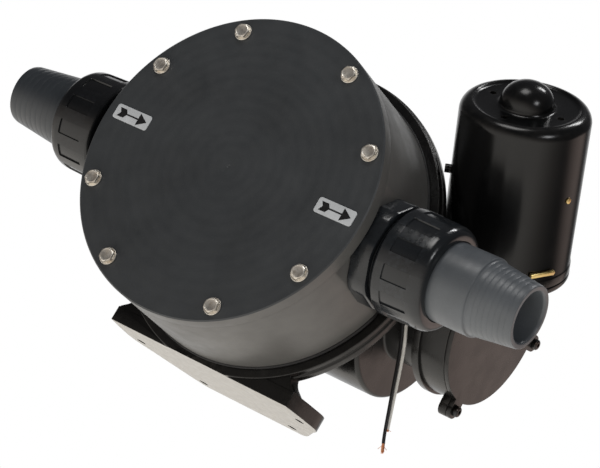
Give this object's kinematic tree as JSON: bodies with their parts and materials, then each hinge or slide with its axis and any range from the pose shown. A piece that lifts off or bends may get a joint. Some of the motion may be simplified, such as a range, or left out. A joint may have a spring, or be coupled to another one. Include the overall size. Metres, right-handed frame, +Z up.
{
  "type": "bilge pump",
  "caption": "Motor-driven diaphragm bilge pump: round PVC pump drum on a cast foot, two union hose tails in line, worm gearbox and motor leaning forward behind it.",
  "frame": {"origin": "middle of the foot's flat bottom face", "axes": "+X towards the outlet along the ports' line, +Y to the rear (the round cover faces -Y), +Z up"},
  "size_m": [0.5136, 0.2961, 0.3324],
  "materials": {
    "pvc_grey": "satin machined rigid PVC",
    "pvc_dark": "glossy moulded PVC",
    "black_paint": "gloss black painted casting, base milled bare",
    "motor_paint": "gloss black enamel",
    "stainless": "stainless",
    "steel": "ground",
    "rubber": "matt",
    "label": "printed vinyl",
    "brass": "plain",
    "bronze": "machined",
    "rod_alloy": "cast",
    "copper": "turned",
    "iron_core": "laminated",
    "ferrite": "matt",
    "carbon": "carbon",
    "black_screw": "blackened",
    "lead_black_pvc": "cable PVC",
    "lead_white_pvc": "cable PVC"
  },
  "bodies": {
    "pump_body": {"brush_a": "carbon", "brush_b": "carbon", "cover_bolt_1": "stainless", "cover_bolt_2": "stainless", "cover_bolt_3": "stainless", "cover_bolt_4": "stainless", "cover_bolt_5": "stainless", "cover_bolt_6": "stainless", "cover_bolt_7": "stainless", "cover_bolt_8": "stainless", "cover_gasket": "rubber", "crank_bearing_left": "steel", "crank_bearing_right": "steel", "crankcase_cap": "black_paint", "diaphragm": "rubber", "drum_shell": "pvc_grey", "field_magnet_a": "ferrite", "field_magnet_b": "ferrite", "frame_casting": "black_paint", "front_cover": "pvc_grey", "gearbox_cover": "black_paint", "gearbox_housing": "black_paint", "gearbox_screw_1": "black_screw", "gearbox_screw_2": "black_screw", "gearbox_screw_3": "black_screw", "inlet_arrow_label": "label", "inlet_collar": "pvc_dark", "inlet_hose_tail": "pvc_grey", "inlet_oring": "rubber", "inlet_valve_seat": "pvc_dark", "lead_black": "lead_black_pvc", "lead_grommet": "rubber", "lead_white": "lead_white_pvc", "motor_bearing_lower": "steel", "motor_bearing_upper": "steel", "motor_can": "motor_paint", "motor_end_plate": "motor_paint", "motor_screw": "brass", "motor_stay": "black_paint", "motor_tab": "brass", "outlet_arrow_label": "label", "outlet_collar": "pvc_dark", "outlet_hose_tail": "pvc_grey", "outlet_oring": "rubber", "outlet_valve_seat": "pvc_dark"},
    "inlet_nut": {"inlet_union_nut": "pvc_dark"},
    "outlet_nut": {"outlet_union_nut": "pvc_dark"},
    "inlet_flap": {"inlet_valve_flap": "rubber"},
    "outlet_flap": {"outlet_valve_flap": "rubber"},
    "armature": {"worm_shaft": "steel", "armature_core": "iron_core", "commutator": "copper"},
    "crank": {"crankshaft": "steel", "worm_wheel": "bronze"},
    "rod": {"connecting_rod": "rod_alloy", "rod_bearing": "bronze"},
    "diaphragm_centre": {"diaphragm_plate_front": "stainless", "diaphragm_plate_rear": "stainless", "rod_clevis": "stainless"}
  },
  "joints": [
    {"name": "motor_spin", "type": "hinge", "parent": "pump_body", "child": "armature", "pos_m": [0.1545, 0.06192, 0.15692], "axis": [0, -0.7071, 0.7071], "continuous": true},
    {"name": "crank_spin", "type": "hinge", "parent": "pump_body", "child": "crank", "pos_m": [0, 0.04, 0.135], "axis": [1, 0, 0], "continuous": true},
    {"name": "rod_spin", "type": "hinge", "parent": "crank", "child": "rod", "pos_m": [0, 0.034, 0.135], "axis": [1, 0, 0], "continuous": true},
    {"name": "diaphragm_stroke", "type": "slide", "parent": "pump_body", "child": "diaphragm_centre", "axis": [0, 1, 0], "range_m": [0, 0.012], "deforming": ["diaphragm"]},
    {"name": "inlet_flap_swing", "type": "hinge", "parent": "pump_body", "child": "inlet_flap", "pos_m": [-0.1025, -0.11, 0.1555], "axis": [0, -1, 0], "range_deg": [0, 50]},
    {"name": "outlet_flap_swing", "type": "hinge", "parent": "pump_body", "child": "outlet_flap", "pos_m": [0.1138, -0.11, 0.1555], "axis": [0, -1, 0], "range_deg": [0, 50]},
    {"name": "inlet_nut_turn", "type": "hinge", "parent": "pump_body", "child": "inlet_nut", "pos_m": [-0.165, -0.11, 0.135], "axis": [-1, 0, 0], "continuous": true},
    {"name": "outlet_nut_turn", "type": "hinge", "parent": "pump_body", "child": "outlet_nut", "pos_m": [0.165, -0.11, 0.135], "axis": [1, 0, 0], "continuous": true}
  ],
  "couplings": [
    {"joint": "crank_spin", "follows": "motor_spin", "ratio": -0.033333},
    {"joint": "rod_spin", "follows": "motor_spin", "ratio": 0.033333}
  ]
}
